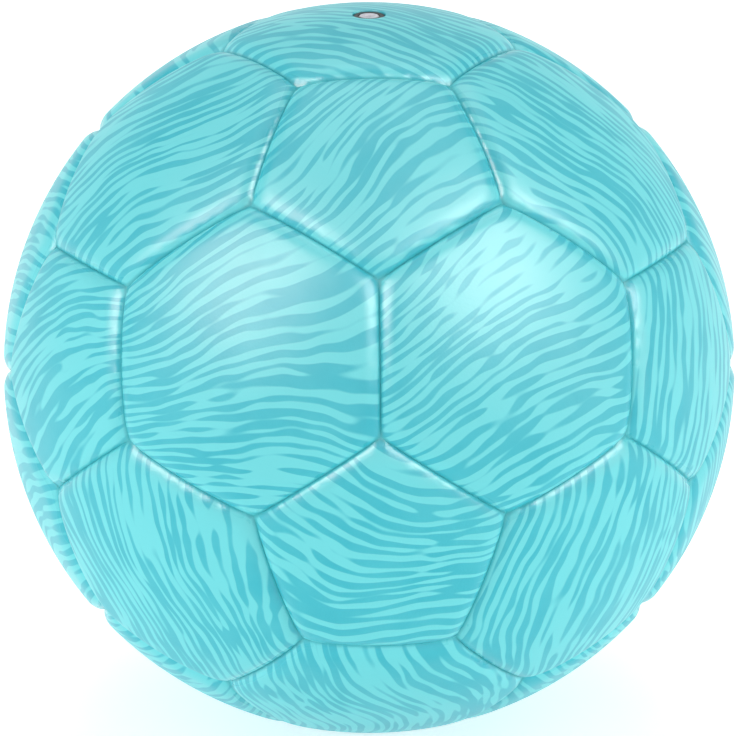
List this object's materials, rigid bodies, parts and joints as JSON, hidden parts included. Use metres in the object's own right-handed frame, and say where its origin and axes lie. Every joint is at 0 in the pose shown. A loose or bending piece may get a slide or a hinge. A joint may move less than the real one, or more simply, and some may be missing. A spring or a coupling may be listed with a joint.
{
  "type": "handball",
  "caption": "Sewn ball with a cushioned, zebra-striped skin of hexagon and pentagon panels over a rubber bladder, with a needle valve in the top panel.",
  "frame": {"origin": "centre of the ball", "axes": "+Z from the centre out through the valve, which sits in the middle of a hexagon; -Y towards the side that the picture shows most, where a seam between two hexagons runs up and down; +X to the right of that side"},
  "size_m": [0.1616, 0.162, 0.1619],
  "materials": {
    "cover_skin": "satin",
    "foam": "matte",
    "lining": "matte",
    "thread": "matte",
    "bladder_rubber": "matte",
    "valve_rubber": "satin",
    "core_rubber": "satin"
  },
  "bodies": {
    "root": {"valve_panel": "cover_skin", "hexagon_panel_01": "cover_skin", "hexagon_panel_02": "cover_skin", "hexagon_panel_03": "cover_skin", "hexagon_panel_04": "cover_skin", "hexagon_panel_05": "cover_skin", "hexagon_panel_06": "cover_skin", "hexagon_panel_07": "cover_skin", "hexagon_panel_08": "cover_skin", "hexagon_panel_09": "cover_skin", "hexagon_panel_10": "cover_skin", "hexagon_panel_11": "cover_skin", "hexagon_panel_12": "cover_skin", "hexagon_panel_13": "cover_skin", "hexagon_panel_14": "cover_skin", "hexagon_panel_15": "cover_skin", "hexagon_panel_16": "cover_skin", "hexagon_panel_17": "cover_skin", "hexagon_panel_18": "cover_skin", "hexagon_panel_19": "cover_skin", "pentagon_panel_01": "cover_skin", "pentagon_panel_02": "cover_skin", "pentagon_panel_03": "cover_skin", "pentagon_panel_04": "cover_skin", "pentagon_panel_05": "cover_skin", "pentagon_panel_06": "cover_skin", "pentagon_panel_07": "cover_skin", "pentagon_panel_08": "cover_skin", "pentagon_panel_09": "cover_skin", "pentagon_panel_10": "cover_skin", "pentagon_panel_11": "cover_skin", "pentagon_panel_12": "cover_skin", "hexagon_foam": "foam", "pentagon_foam": "foam", "hexagon_lining": "lining", "pentagon_lining": "lining", "seam_thread": "thread", "bladder": "bladder_rubber", "valve_body": "valve_rubber", "valve_core": "core_rubber"}
  },
  "joints": []
}
